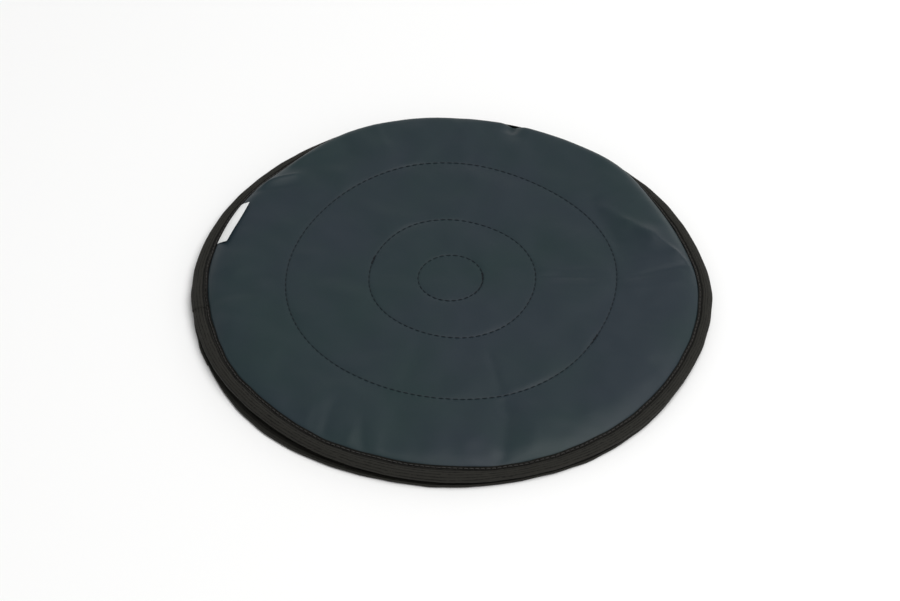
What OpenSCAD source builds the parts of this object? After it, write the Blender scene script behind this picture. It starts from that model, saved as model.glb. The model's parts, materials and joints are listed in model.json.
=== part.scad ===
// Soft turning cushion: a padded seat disc that turns on a thin base disc about a central pivot.
// Both discs are layers of sheet, bound around the rim with folded tape.
// Millimetres, +Z up, origin at the centre of the underside, -Y towards the front.

/* [Discs] */
// Outside diameter of both discs, over the binding tape
disc_d = 450; // [360:5:540]
// Clearance between the two glide liners
glide_gap = 0.3; // [0.2:0.1:0.8]

/* [Base layers] */
// Thickness of the non-slip fabric underneath
grip_cover_t = 1.0; // [0.6:0.1:2]
// Thickness of the felt pad, which is also the pivot flange's
base_pad_t = 1.5; // [1:0.1:4]
// Thickness of the plastic stiffener sheet in the base
base_stiffener_t = 0.8; // [0.5:0.1:2]
// Thickness of the slippery liner on the inner face of each disc
liner_t = 0.4; // [0.3:0.05:0.8]

/* [Seat layers] */
// Thickness of the plastic stiffener sheet in the seat
seat_stiffener_t = 1.0; // [0.6:0.1:2]
// Thickness of the scrim that the foam is quilted to
backing_t = 0.4; // [0.3:0.05:0.8]
// Thickness of the foam
foam_t = 10; // [6:0.5:25]
// Thickness of the coated seat cover
cover_t = 0.8; // [0.5:0.1:1.5]

/* [Seat edge] */
// How far in from the rim the seat starts to fall away
edge_run = 29; // [24:1:45]
// How sharply the fall steepens towards the rim
edge_power = 2.2; // [1.5:0.1:3]
// Thickness of the foam where the binding squeezes it
edge_foam_t = 0.4; // [0.2:0.1:1.5]

/* [Binding] */
// Full width of the binding tape before it is folded
tape_w = 30; // [22:1:38]
// Thickness of the binding tape
tape_t = 0.9; // [0.5:0.1:1.3]
// How far the seam lies from the tape's inner edge
seam_inset = 2.4; // [1.2:0.1:4]

/* [Quilting] */
// Radius of the inner quilting row
quilt_inner_r = 28; // [24:1:38]
// Radius of the middle quilting row
quilt_middle_r = 72; // [56:1:78]
// How far in from the rim the outer quilting row lies
quilt_outer_inset = 82; // [56:1:82]
// How deep the quilting pulls the seat down
quilt_dip = 1.2; // [0.4:0.1:3]
// How far the dip reaches to each side of a row
quilt_reach = 9; // [5:1:9]
// Width of the sewing thread
thread_w = 0.7; // [0.4:0.1:1]
// Height of the sewing thread
thread_t = 0.25; // [0.15:0.05:0.3]

/* [Pivot] */
// Diameter of the pivot post
post_d = 8; // [6:0.5:12]
// Diameter of the stud's lower flange
flange_d = 32; // [24:1:44]
// Diameter of the glide washer between the stiffeners
washer_d = 30; // [22:1:40]
// Wall of the bush's sleeve
bush_wall = 2; // [1.2:0.1:3]
// Diameter of the bush's flange
bush_flange_d = 22; // [18:1:30]
// Thickness of the bush's flange
bush_flange_t = 1.0; // [0.6:0.1:2]
// Diameter of the retaining cap
cap_d = 24; // [18:1:32]
// Thickness of the retaining cap
cap_t = 1.4; // [1:0.1:3]
// Radial clearance between the post and the bush
running_fit = 0.05; // [0.02:0.01:0.1]
// End clearance above and below each turning pivot piece
end_float = 0.1; // [0.05:0.05:0.3]

/* [Care label] */
// Length of the label along the rim
label_w = 52; // [30:1:80]
// How far the label reaches in over the cover
label_l = 11; // [8:1:22]
// Thickness of the label
label_t = 0.45; // [0.3:0.05:0.8]
// Direction of the label from the pivot, counter-clockwise from +X
label_at = 161; // [0:1:359]

/* [Hidden] */
$fn = 180;

eps = 0.01;          // overshoot of a cut past the face that it opens
slack = 0.05;        // room between two curved layers that lie on each other
hole_slack = 0.5;    // room around a pivot piece in a soft layer's hole
thread_slack = 0.1;  // room beside a thread in its groove

rim_r = disc_d / 2;

// Heights in the base disc
pad_z = grip_cover_t;
base_stiffener_z = pad_z + base_pad_t;
base_liner_z = base_stiffener_z + base_stiffener_t;
base_top_z = base_liner_z + liner_t;
base_edge_t = 2 * tape_t + grip_cover_t + liner_t;

// Heights in the seat disc
seat_z = max(base_top_z, base_edge_t) + glide_gap;
seat_stiffener_z = seat_z + liner_t;
backing_z = seat_stiffener_z + seat_stiffener_t;
foam_z = backing_z + backing_t;
seat_top_z = foam_z + foam_t + cover_t;
seat_edge_t = 2 * tape_t + liner_t + backing_t + edge_foam_t + cover_t;

// The rounded nose of each binding, and the inner edge of its two folds
base_nose_r = base_edge_t / 2;
seat_nose_r = seat_edge_t / 2;
function fold_r(nose_r) = rim_r - nose_r - (tape_w - PI * nose_r) / 2;
base_fold_r = fold_r(base_nose_r);
seat_fold_r = fold_r(seat_nose_r);

// The layers step over the tape between these two radii, so the flat layers stop inside the first
step_run = 3;
step_margin = 1;
step_end_r = min(base_fold_r, seat_fold_r) - step_margin;
step_start_r = step_end_r - step_run;
flat_layer_r = step_start_r - step_margin;

// The seat's top surface: flat, then falling to where it meets the nose
nose_join_deg = 55;
fall_r = rim_r - edge_run;
join_r = rim_r - seat_nose_r * (1 - cos(nose_join_deg));
join_z = seat_z + seat_nose_r * (1 + sin(nose_join_deg));
edge_steps = 14;
dip_steps = 12;
quilt_outer_r = rim_r - quilt_outer_inset;
quilt_rows = [quilt_inner_r, quilt_middle_r, quilt_outer_r];

function fall(r) = pow(max(0, r - fall_r) / (join_r - fall_r), edge_power);
function dip(r, row_r) =
    abs(r - row_r) >= quilt_reach ? 0 : quilt_dip * (1 + cos(180 * (r - row_r) / quilt_reach)) / 2;
function all_dips(r) = dip(r, quilt_inner_r) + dip(r, quilt_middle_r) + dip(r, quilt_outer_r);
function skin_z(r) = join_z + (seat_top_z - join_z) * (1 - fall(r)) - all_dips(r);

// The cover lies under the tape, so it drops by the tape's thickness just inside the tape's edge
tuck_run = 1.4;
tuck_r = seat_fold_r - slack - tuck_run;
function tuck(r) = tape_t * min(1, max(0, (r - tuck_r) / tuck_run));
function cover_z(r) = skin_z(r) - tuck(r) - (r > tuck_r ? slack : 0);

// Radii at which the curved surfaces are drawn, the same for every layer
function dip_radii(row_r) =
    [for (i = [0:dip_steps]) row_r - quilt_reach + 2 * quilt_reach * i / dip_steps];
function edge_radii(from_r, to_r) =
    [for (i = [0:edge_steps]) from_r + (to_r - from_r) * i / edge_steps];
function cover_radii(end_r) = concat(
    [0], [for (row = quilt_rows) for (r = dip_radii(row)) r],
    edge_radii(fall_r, tuck_r), edge_radii(tuck_r + tuck_run, end_r)
);
function flipped(list) = [for (i = [len(list) - 1:-1:0]) list[i]];
function arc(centre, radius, from_deg, to_deg, steps) = [
    for (i = [0:steps])
        let (a = from_deg + (to_deg - from_deg) * i / steps)
            centre + radius * [cos(a), sin(a)]
];

// Where the soft layers end inside the binding
nose_room = 0.6;
foam_end_r = rim_r - 2 * seat_nose_r - nose_room;
base_layer_r = rim_r - base_nose_r - nose_room;
seat_layer_r = rim_r - seat_nose_r - nose_room;

// Pivot stack
washer_z = base_liner_z;
washer_t = seat_stiffener_z - washer_z - end_float;
bush_r = post_d / 2 + running_fit;
bush_outer_r = bush_r + bush_wall;
cap_z = backing_z + bush_flange_t + end_float;
pocket_r = max(cap_d, bush_flange_d) / 2 + 4 * hole_slack;
pocket_top_z = cap_z + cap_t + hole_slack;
liner_hole_r = washer_d / 2 + hole_slack;

// Care label
label_gap = 0.4;
label_root_gap = 0.4;
label_root_r = seat_fold_r - label_root_gap;
label_deg = label_w / label_root_r * 180 / PI;

// A ring of rectangular section
module ring(inner_r, outer_r, z, height) {
    translate([0, 0, z]) difference() {
        cylinder(r = outer_r, h = height);
        translate([0, 0, -eps]) cylinder(r = inner_r, h = height + 2 * eps);
    }
}

// A round sheet with a hole, which steps from one height to another before the binding
module stepped_sheet(hole_r, outer_r, z, edge_z, thickness) {
    rotate_extrude() polygon([
        [hole_r, z], [step_start_r, z], [step_end_r, edge_z], [outer_r, edge_z],
        [outer_r, edge_z + thickness], [step_end_r, edge_z + thickness],
        [step_start_r, z + thickness], [hole_r, z + thickness]
    ]);
}

// A row of thread seen from above or below, and the groove that it lies in
module thread_ring(row_r, z) {
    ring(row_r - thread_w / 2, row_r + thread_w / 2, z, thread_t);
}

module thread_groove(row_r, z, depth) {
    ring(row_r - thread_w / 2 - thread_slack, row_r + thread_w / 2 + thread_slack, z, depth);
}

// Base disc

module base_grip_cover() {
    color("#2b2c2e") stepped_sheet(0, base_layer_r, 0, tape_t, grip_cover_t);
}

module base_pad() {
    color("#6f7173") ring(flange_d / 2 + hole_slack, flat_layer_r, pad_z, base_pad_t);
}

module base_stiffener() {
    color("#d8d9d6") ring(post_d / 2, flat_layer_r, base_stiffener_z, base_stiffener_t);
}

module base_glide_liner() {
    color("#3a3d42")
        stepped_sheet(liner_hole_r, base_layer_r, base_liner_z, tape_t + grip_cover_t, liner_t);
}

module base_binding() {
    nose = [rim_r - base_nose_r, base_nose_r];
    color("#1d1d1c") difference() {
        rotate_extrude() polygon(concat(
            [[base_fold_r, base_edge_t]], arc(nose, base_nose_r, 90, -90, 16), [[base_fold_r, 0]],
            [[base_fold_r, tape_t]], arc(nose, base_nose_r - tape_t, -90, 90, 12),
            [[base_fold_r, base_edge_t - tape_t]]
        ));
        for (z = [-eps, base_edge_t - thread_t - thread_slack])
            thread_groove(base_fold_r + seam_inset, z, thread_t + thread_slack + eps);
    }
}

module base_binding_seam() {
    color("#101010") {
        thread_ring(base_fold_r + seam_inset, thread_slack);
        thread_ring(base_fold_r + seam_inset, base_edge_t - thread_slack - thread_t);
    }
}

// Pivot: the stud and cap hold the base, and the bush turns with the seat

module pivot_stud() {
    color("#e6e4de") {
        translate([0, 0, pad_z]) cylinder(d = flange_d, h = base_pad_t);
        translate([0, 0, pad_z]) cylinder(d = post_d, h = cap_z + cap_t - pad_z);
    }
}

module pivot_glide_washer() {
    color("#f2f1ec") ring(post_d / 2, washer_d / 2, washer_z, washer_t);
}

module pivot_cap() {
    color("#e6e4de") ring(post_d / 2, cap_d / 2, cap_z, cap_t);
}

module pivot_bush() {
    color("#cfd2d4") difference() {
        union() {
            translate([0, 0, seat_stiffener_z]) cylinder(r = bush_outer_r, h = seat_stiffener_t + eps);
            translate([0, 0, backing_z]) cylinder(d = bush_flange_d, h = bush_flange_t);
        }
        translate([0, 0, seat_stiffener_z - eps])
            cylinder(r = bush_r, h = seat_stiffener_t + bush_flange_t + 2 * eps);
    }
}

// Seat disc

module seat_glide_liner() {
    color("#3a3d42") stepped_sheet(liner_hole_r, seat_layer_r, seat_z, seat_z + tape_t, liner_t);
}

module seat_stiffener() {
    color("#d8d9d6") ring(bush_outer_r, flat_layer_r, seat_stiffener_z, seat_stiffener_t);
}

backing_edge_z = max(backing_z, seat_z + tape_t + liner_t);

module seat_backing() {
    color("#c9cacb") difference() {
        stepped_sheet(pocket_r, seat_layer_r, backing_z, backing_edge_z, backing_t);
        for (row = quilt_rows) thread_groove(row, backing_z - eps, thread_t + eps);
    }
}

module seat_foam() {
    top = [for (r = cover_radii(foam_end_r)) [r, cover_z(r) - cover_t - slack]];
    color("#55585c") rotate_extrude() polygon(concat(
        [[0, pocket_top_z], [pocket_r, pocket_top_z], [pocket_r, foam_z], [step_start_r, foam_z],
         [step_end_r, backing_edge_z + backing_t], [foam_end_r, backing_edge_z + backing_t]],
        flipped(top)
    ));
}

module seat_cover() {
    radii = cover_radii(seat_layer_r);
    color("#2f3b42") difference() {
        rotate_extrude() polygon(concat(
            [for (r = radii) [r, cover_z(r)]],
            [for (r = flipped(radii)) [r, cover_z(r) - cover_t]]
        ));
        for (row = quilt_rows)
            thread_groove(row, seat_top_z - quilt_dip - thread_t - thread_slack, quilt_dip);
    }
}

module seat_binding() {
    nose = [rim_r - seat_nose_r, seat_z + seat_nose_r];
    radii = edge_radii(seat_fold_r, nose[0]);
    seam_r = seat_fold_r + seam_inset;
    color("#1d1d1c") difference() {
        rotate_extrude() polygon(concat(
            [for (r = radii) [r, skin_z(r)]], arc(nose, seat_nose_r, nose_join_deg, -90, 16),
            [[seat_fold_r, seat_z], [seat_fold_r, seat_z + tape_t]],
            arc(nose, seat_nose_r - tape_t, -90, nose_join_deg, 12),
            [for (r = flipped(radii)) [r, skin_z(r) - tape_t]]
        ));
        thread_groove(seam_r, seat_z - eps, thread_t + thread_slack + eps);
        thread_groove(seam_r, skin_z(seam_r) - thread_t - thread_slack, tape_t);
    }
}

module seat_binding_seam() {
    seam_r = seat_fold_r + seam_inset;
    color("#101010") {
        thread_ring(seam_r, seat_z + thread_slack);
        thread_ring(seam_r, skin_z(seam_r) - thread_slack - thread_t);
    }
}

// One quilting row: the needle thread in the cover and the bobbin thread under the backing
module quilt_seam(row_r) {
    color("#0e1114") {
        thread_ring(row_r, seat_top_z - quilt_dip - thread_t - thread_slack);
        thread_ring(row_r, backing_z);
    }
}

// Care label, a strip that follows the rim and lies on the cover

module care_label() {
    radii = edge_radii(label_root_r - label_l, label_root_r);
    color("#eef1f0") rotate([0, 0, label_at - label_deg / 2]) rotate_extrude(angle = label_deg)
        polygon(concat(
            [for (r = radii) [r, cover_z(r) + label_gap]],
            [for (r = flipped(radii)) [r, cover_z(r) + label_gap + label_t]]
        ));
}

base_grip_cover();
base_pad();
base_stiffener();
base_glide_liner();
base_binding();
base_binding_seam();
pivot_stud();
pivot_glide_washer();
pivot_cap();
pivot_bush();
seat_glide_liner();
seat_stiffener();
seat_backing();
seat_foam();
seat_cover();
seat_binding();
seat_binding_seam();
quilt_seam(quilt_inner_r);  // quilt_seam_inner
quilt_seam(quilt_middle_r);  // quilt_seam_middle
quilt_seam(quilt_outer_r);  // quilt_seam_outer
care_label();
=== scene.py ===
"""Looks of the swivel cushion disc: a quilted, padded seat disc on a thin base disc, around the CAD frame.

Shapes are worked out in millimetres, on polar grids about the swivel axis, and build() turns them
into metres. Azimuths are counter-clockwise from +X, seen from above; the viewer stands on the -Y side.
"""

import json
import math

import bpy
import numpy as np
from mathutils import Matrix, Vector


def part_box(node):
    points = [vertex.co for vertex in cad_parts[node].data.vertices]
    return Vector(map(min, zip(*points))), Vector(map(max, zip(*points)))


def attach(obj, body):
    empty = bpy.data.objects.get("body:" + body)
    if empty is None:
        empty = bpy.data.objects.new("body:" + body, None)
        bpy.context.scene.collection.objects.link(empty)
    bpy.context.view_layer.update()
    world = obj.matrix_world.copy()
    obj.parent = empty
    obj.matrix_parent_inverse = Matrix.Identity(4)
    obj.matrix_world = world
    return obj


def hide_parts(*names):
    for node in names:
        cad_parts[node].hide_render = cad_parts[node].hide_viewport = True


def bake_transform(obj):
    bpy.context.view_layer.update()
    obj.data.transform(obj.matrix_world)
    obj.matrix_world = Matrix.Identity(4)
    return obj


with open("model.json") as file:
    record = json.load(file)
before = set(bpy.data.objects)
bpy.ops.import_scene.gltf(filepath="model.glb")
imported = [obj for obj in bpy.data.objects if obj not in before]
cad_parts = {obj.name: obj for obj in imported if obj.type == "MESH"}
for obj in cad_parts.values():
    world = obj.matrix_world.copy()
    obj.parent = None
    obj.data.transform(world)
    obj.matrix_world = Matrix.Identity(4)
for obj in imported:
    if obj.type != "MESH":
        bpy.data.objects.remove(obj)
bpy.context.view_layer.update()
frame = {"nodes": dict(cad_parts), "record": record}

MM = 0.001
TAU = 2 * math.pi


# ---- camera

LENS_MM = 120
CAMERA_ELEVATION = 44.89
CAMERA_DISTANCE = 2.591
CAMERA_ROLL = 0.96
CAMERA_SHIFT = (-0.0016, -0.0248)


def make_camera():
    """The view: from the front, halfway up, through a long lens."""
    elevation = math.radians(CAMERA_ELEVATION)
    target = Vector((0, 0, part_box("seat_cover")[1].z))
    back = Vector((0, -math.cos(elevation), math.sin(elevation)))
    data = bpy.data.cameras.new("camera")
    data.lens = LENS_MM
    data.shift_x, data.shift_y = CAMERA_SHIFT
    camera = bpy.data.objects.new("camera", data)
    bpy.context.scene.collection.objects.link(camera)
    turn = (-back).to_track_quat("-Z", "Y").to_matrix()
    roll = Matrix.Rotation(math.radians(CAMERA_ROLL), 3, "Z")
    camera.matrix_world = Matrix.Translation(target + back * CAMERA_DISTANCE) @ (turn @ roll).to_4x4()
    bpy.context.scene.camera = camera


make_camera()


# ---- sizes from the frame, in millimetres


def span(node, side, axis):
    """A coordinate of a node's box: side 0 is its lowest corner and 1 its highest."""
    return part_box(node)[side][axis] / MM


COVER_T = 0.8
COVER_GAP = 0.1         # between the cover and what lies on it
TOP = span("seat_foam", 1, 2) + COVER_T + 0.05
SEAT_BOTTOM = span("seat_binding", 0, 2)
BASE_TOP = span("base_binding", 1, 2)
RIM = span("seat_binding", 1, 0)
FOAM_BOTTOM = span("seat_foam", 0, 2)
TAPE_T = 0.9
TAPE_W = 30.0
SEAM_INSET = 2.2        # from the tape's edge to its stitches
SEAM_DEPTH = 1.1        # how far the stitches pull the tape in
LINER_T = 0.4
SCRIM_T = 0.38
GRIP_T = 0.5
STEP_FROM, STEP_TO = RIM - 22, RIM - 18     # where the flat sheets step over the tape's inner edge
RISE_FROM, RISE_TO = 150, 206               # where the seat's underside rises to its lifted rim


# ---- small tools


def around(values):
    """A smooth closed curve through values spaced evenly round the disc, the first at azimuth 0."""
    v = np.array(values, float)
    n = len(v)

    def at(theta):
        t = np.asarray(theta) / TAU % 1 * n
        i = np.floor(t).astype(int)
        f = t - i
        a, b, c, d = v[(i - 1) % n], v[i % n], v[(i + 1) % n], v[(i + 2) % n]
        return b + 0.5 * f * (c - a + f * (2 * a - 5 * b + 4 * c - d + f * (3 * (b - c) + d - a)))

    return at


def bump(theta, centre_deg, width_deg):
    """A bell round one azimuth, 1 at its centre."""
    off = (np.degrees(theta) - centre_deg + 180) % 360 - 180
    return np.exp(-((off / width_deg) ** 2))


def smooth(low, high, x):
    """0 below low, 1 above high, and a smooth step between. low may be the greater."""
    t = np.clip((x - low) / (high - low), 0, 1)
    return t * t * (3 - 2 * t)


def ripples(seed, count, shortest, longest):
    """A closed random curve round the rim, of standard deviation 1, with wave lengths given in mm."""
    rng = np.random.default_rng(seed)
    turns = rng.integers(TAU * RIM / longest, TAU * RIM / shortest + 1, count)
    phases = rng.uniform(0, TAU, count)
    return lambda theta: sum(np.sin(k * theta + p) for k, p in zip(turns, phases)) * math.sqrt(2 / count)


def polar(r, theta, z):
    """Points in mm from plan radius, azimuth and height, as an array with a last axis of 3."""
    r, theta, z = np.broadcast_arrays(r, theta, z)
    return np.stack([r * np.cos(theta), r * np.sin(theta), z], axis=-1)


def build(name, parts, material, body=None):
    """One mesh object from parts of (points in mm, faces, uvs in m per face corner or None)."""
    verts, faces, uvs, offset = [], [], [], 0
    for points, part_faces, part_uvs in parts:
        verts.append(np.asarray(points).reshape(-1, 3))
        faces.extend([[i + offset for i in f] for f in part_faces])
        if part_uvs is None:
            part_uvs = np.concatenate([verts[-1][f, :2] * MM for f in part_faces]) if len(part_faces) else []
        uvs.append(np.asarray(part_uvs).reshape(-1, 2))
        offset += len(verts[-1])
    mesh = bpy.data.meshes.new(name)
    mesh.from_pydata((np.concatenate(verts) * MM).tolist(), [], faces)
    layer = mesh.uv_layers.new(name="cut")
    layer.data.foreach_set("uv", np.concatenate(uvs).astype(np.float32).ravel())
    mesh.polygons.foreach_set("use_smooth", [True] * len(mesh.polygons))
    mesh.materials.append(material)
    mesh.validate()
    mesh.update()
    piece = bpy.data.objects.new(name, mesh)
    bpy.context.scene.collection.objects.link(piece)
    if body:
        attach(piece, body)
    return piece


def sweep(loops, along, across, closed=True):
    """Quads between the closed loops of an array (loop, point, 3). along and across are the uv lengths in m.
    closed joins the last loop to the first; otherwise both ends are capped."""
    n, m = loops.shape[:2]
    faces, uvs = [], []
    for i in range(n if closed else n - 1):
        j = (i + 1) % n
        for a in range(m):
            b = (a + 1) % m
            faces.append([i * m + a, j * m + a, j * m + b, i * m + b])
            uvs += [(along[i], across[a]), (along[i + 1], across[a]),
                    (along[i + 1], across[a + 1]), (along[i], across[a + 1])]
    if not closed:
        faces.append(list(range(m)))
        faces.append(list(range(n * m - 1, (n - 1) * m - 1, -1)))
        uvs += [(along[0], across[a]) for a in range(m)]
        uvs += [(along[-1], across[a]) for a in range(m - 1, -1, -1)]
    return loops.reshape(-1, 3), faces, uvs


def disc_grid(points, down=False):
    """Faces of a disc from an array (ring, azimuth, 3), with a fan to the middle of the first ring."""
    rings, turns = points.shape[:2]
    middle = points[0].mean(axis=0)
    faces = [[rings * turns, k, (k + 1) % turns] for k in range(turns)]
    for i in range(rings - 1):
        for k in range(turns):
            j = (k + 1) % turns
            faces.append([i * turns + k, (i + 1) * turns + k, (i + 1) * turns + j, i * turns + j])
    if down:
        faces = [f[::-1] for f in faces]
    return np.concatenate([points.reshape(-1, 3), middle[None]]), faces, None


def solidify(piece, thickness):
    """Thickness in mm, on the inner side of the faces."""
    modifier = piece.modifiers.new("thickness", "SOLIDIFY")
    modifier.thickness = thickness * MM
    modifier.offset = -1.0
    modifier.use_even_offset = False


# ---- materials


class Nodes:
    """Shorthand for building one material's nodes."""

    def __init__(self, name, **inputs):
        self.material = bpy.data.materials.new(name)
        self.material.use_nodes = True
        self.tree = self.material.node_tree
        self.shader = self.tree.nodes["Principled BSDF"]
        for key, value in inputs.items():
            self.shader.inputs[key.replace("_", " ")].default_value = value
        self.coords = self.tree.nodes.new("ShaderNodeTexCoord")
        self.normal = None

    def add(self, kind, **settings):
        node = self.tree.nodes.new("ShaderNode" + kind)
        for key, value in settings.items():
            setattr(node, key, value)
        return node

    def link(self, a, b):
        self.tree.links.new(a, b)

    def mapped(self, source="Object", scale=(1, 1, 1), turn=0.0):
        node = self.add("Mapping")
        node.inputs["Scale"].default_value = scale
        node.inputs["Rotation"].default_value = (0, 0, turn)
        self.link(self.coords.outputs[source], node.inputs["Vector"])
        return node.outputs["Vector"]

    def noise(self, scale, detail=3.0, roughness=0.5, vector=None):
        node = self.add("TexNoise")
        node.inputs["Scale"].default_value = scale
        node.inputs["Detail"].default_value = detail
        node.inputs["Roughness"].default_value = roughness
        self.link(vector or self.mapped(), node.inputs["Vector"])
        return node.outputs["Fac"]

    def wave(self, pitch, direction="X", source="Object", turn=0.0):
        """Stripes with the given pitch in mm."""
        node = self.add("TexWave", bands_direction=direction)
        node.inputs["Scale"].default_value = TAU / 20 / (pitch * MM)
        self.link(self.mapped(source, turn=turn), node.inputs["Vector"])
        return node.outputs["Fac"]

    def across(self, low_mm, high_mm):
        """1 on a tape's inner edge, and 0 beyond the given distances from it."""
        split, fade = self.add("SeparateXYZ"), self.add("MapRange", interpolation_type="SMOOTHSTEP")
        self.link(self.coords.outputs["UV"], split.inputs["Vector"])
        self.link(split.outputs["Y"], fade.inputs["Value"])
        fade.inputs["From Min"].default_value = low_mm * MM
        fade.inputs["From Max"].default_value = high_mm * MM
        fade.inputs["To Min"].default_value = 1
        fade.inputs["To Max"].default_value = 0
        return fade.outputs["Result"]

    def math(self, operation, a, b):
        node = self.add("Math", operation=operation)
        for socket, value in zip(node.inputs, (a, b)):
            if isinstance(value, (int, float)):
                socket.default_value = value
            else:
                self.link(value, socket)
        return node.outputs[0]

    def ramp(self, value, low, high, low_at=0.0, high_at=1.0):
        node = self.add("ValToRGB")
        for stop, place, colour in zip(node.color_ramp.elements, (low_at, high_at), (low, high)):
            stop.position = place
            stop.color = (*colour, 1)
        self.link(value, node.inputs["Fac"])
        return node.outputs["Color"]

    def bump(self, height, distance_mm, strength=1.0):
        node = self.add("Bump")
        node.inputs["Distance"].default_value = distance_mm * MM
        node.inputs["Strength"].default_value = strength
        self.link(height, node.inputs["Height"])
        if self.normal:
            self.link(self.normal, node.inputs["Normal"])
        self.normal = node.outputs["Normal"]
        self.link(self.normal, self.shader.inputs["Normal"])

    def colour(self, value):
        self.link(value, self.shader.inputs["Base Color"])

    def roughness(self, value, low, high):
        node = self.add("MapRange")
        node.inputs["To Min"].default_value = low
        node.inputs["To Max"].default_value = high
        self.link(value, node.inputs["Value"])
        self.link(node.outputs["Result"], self.shader.inputs["Roughness"])


def cover_fabric():
    """Coated nylon: a fine plain weave under a satin polyurethane film, slightly mottled."""
    m = Nodes("cover_fabric", Specular_IOR_Level=0.3)
    mottle = m.noise(9.0, 4.0, 0.55)
    m.colour(m.ramp(mottle, (0.0075, 0.0215, 0.0240), (0.0110, 0.0205, 0.0290), 0.35, 0.65))
    m.roughness(m.noise(26.0, 3.0), 0.46, 0.56)
    weave = m.math("MAXIMUM", m.wave(0.52, "X"), m.wave(0.52, "Y"))
    m.bump(m.noise(420.0, 3.0, 0.6), 0.09, 0.5)
    m.bump(weave, 0.035, 0.5)
    return m.material


def binding_tape():
    """Black woven tape: yarns cross the ribs, which are in the mesh. The uv map runs along and across it.
    Shade along its inner edge, beside the seam, is painted into its colour.
    """
    m = Nodes("binding_tape", Specular_IOR_Level=0.12, Sheen_Weight=0.02, Sheen_Roughness=0.35)
    m.shader.inputs["Sheen Tint"].default_value = (1.0, 0.97, 0.9, 1)
    yarn = m.math("MULTIPLY", m.wave(0.62, "X", "UV"), m.wave(0.65, "Y", "UV"))
    cords = m.wave(2.6, "Y", "UV")
    fuzz = m.noise(700.0, 2.0, 0.6)
    streaks = m.noise(1000.0, 3.0, 0.65, m.mapped("UV", (0.06, 1, 1)))
    worn = m.math("ADD", m.math("MULTIPLY", m.noise(380.0, 4.0, 0.7), 0.9), m.math("MULTIPLY", streaks, 0.8))
    light = m.math("ADD", m.math("MULTIPLY", yarn, 0.6), m.math("MULTIPLY", cords, 0.5))
    # painted shade: the tape's colour is darkened near its inner edge, where the cover overhangs it and the
    # seam pulls it down
    painted_seam_shade = m.math("MULTIPLY", m.across(4.5, 7.5), 0.35)
    m.colour(m.ramp(m.math("SUBTRACT", m.math("ADD", light, worn), painted_seam_shade),
                    (0.0008, 0.0008, 0.0006), (0.0205, 0.0198, 0.0166), 0.95, 1.75))
    m.roughness(fuzz, 0.55, 0.75)
    m.bump(yarn, 0.16, 0.8)
    m.bump(fuzz, 0.08, 0.5)
    return m.material


def thread(name, colour):
    m = Nodes(name, Specular_IOR_Level=0.25)
    ply = m.wave(0.55, "X", "Object", math.radians(35))
    m.colour(m.ramp(ply, tuple(c * 0.6 for c in colour), colour))
    m.roughness(ply, 0.6, 0.75)
    m.bump(ply, 0.05, 0.6)
    return m.material


def label_satin():
    """White satin ribbon, blank, with fine weft lines and heat-cut edges."""
    m = Nodes("label_satin", Specular_IOR_Level=0.45, Sheen_Weight=0.1)
    lines = m.wave(0.42, "Y", "UV")
    m.colour(m.ramp(m.math("ADD", m.math("MULTIPLY", lines, 0.5), m.noise(60.0)),
                    (0.72, 0.74, 0.74), (0.83, 0.84, 0.83), 0.2, 1.0))
    m.roughness(lines, 0.35, 0.5)
    m.bump(lines, 0.03, 0.5)
    return m.material


def grip_fabric():
    m = Nodes("grip_fabric", Specular_IOR_Level=0.3, Sheen_Weight=0.2)
    weave = m.math("MULTIPLY", m.wave(0.8, "X"), m.wave(0.8, "Y"))
    m.colour(m.ramp(m.math("ADD", weave, m.noise(500.0)),
                    (0.010, 0.0105, 0.0115), (0.030, 0.031, 0.034), 0.3, 1.4))
    m.roughness(m.noise(300.0), 0.7, 0.9)
    m.bump(weave, 0.15, 0.7)
    return m.material


def grip_dots():
    m = Nodes("grip_dots", Specular_IOR_Level=0.5)
    m.colour(m.ramp(m.noise(700.0), (0.012, 0.012, 0.013), (0.02, 0.02, 0.022)))
    m.roughness(m.noise(250.0), 0.35, 0.55)
    m.bump(m.noise(1500.0), 0.02, 0.5)
    return m.material


def fibrous(name, sheen, scale, detail, low, high, rough, depth, strength):
    """Matted fibres: felt or scrim."""
    m = Nodes(name, Sheen_Weight=sheen)
    fibres = m.noise(scale, *detail)
    m.colour(m.ramp(fibres, low, high, 0.3, 0.7))
    m.roughness(fibres, *rough)
    m.bump(fibres, depth, strength)
    return m.material


def glide_nylon():
    """Slippery ripstop: a fine weave with thicker yarns in a grid."""
    m = Nodes("glide_nylon", Specular_IOR_Level=0.5, Sheen_Weight=0.1)
    grid = m.math("MAXIMUM", m.wave(5.0, "X"), m.wave(5.0, "Y"))
    weave = m.math("MULTIPLY", m.wave(0.3, "X"), m.wave(0.3, "Y"))
    m.colour(m.ramp(grid, (0.033, 0.038, 0.047), (0.048, 0.054, 0.065), 0.9, 1.0))
    m.roughness(m.noise(40.0), 0.22, 0.34)
    m.bump(grid, 0.05, 0.4)
    m.bump(weave, 0.03, 0.4)
    return m.material


def foam():
    m = Nodes("foam", Specular_IOR_Level=0.2)
    cells = m.add("TexVoronoi")
    cells.inputs["Scale"].default_value = 1400.0
    m.link(m.mapped(), cells.inputs["Vector"])
    m.colour(m.ramp(cells.outputs["Distance"], (0.12, 0.125, 0.13), (0.045, 0.048, 0.05), 0.1, 0.8))
    m.roughness(cells.outputs["Distance"], 0.8, 1.0)
    m.bump(cells.outputs["Distance"], 0.4, 0.9)
    return m.material


def moulded(name, specular, scale, detail, low, high, rough, grain, depth, strength):
    """Hazy sheet or moulded plastic, with faint flow marks."""
    m = Nodes(name, Specular_IOR_Level=specular)
    flow = m.noise(scale, detail)
    m.colour(m.ramp(flow, low, high, 0.35, 0.65))
    m.roughness(flow, *rough)
    m.bump(m.noise(grain), depth, strength)
    return m.material


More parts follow.
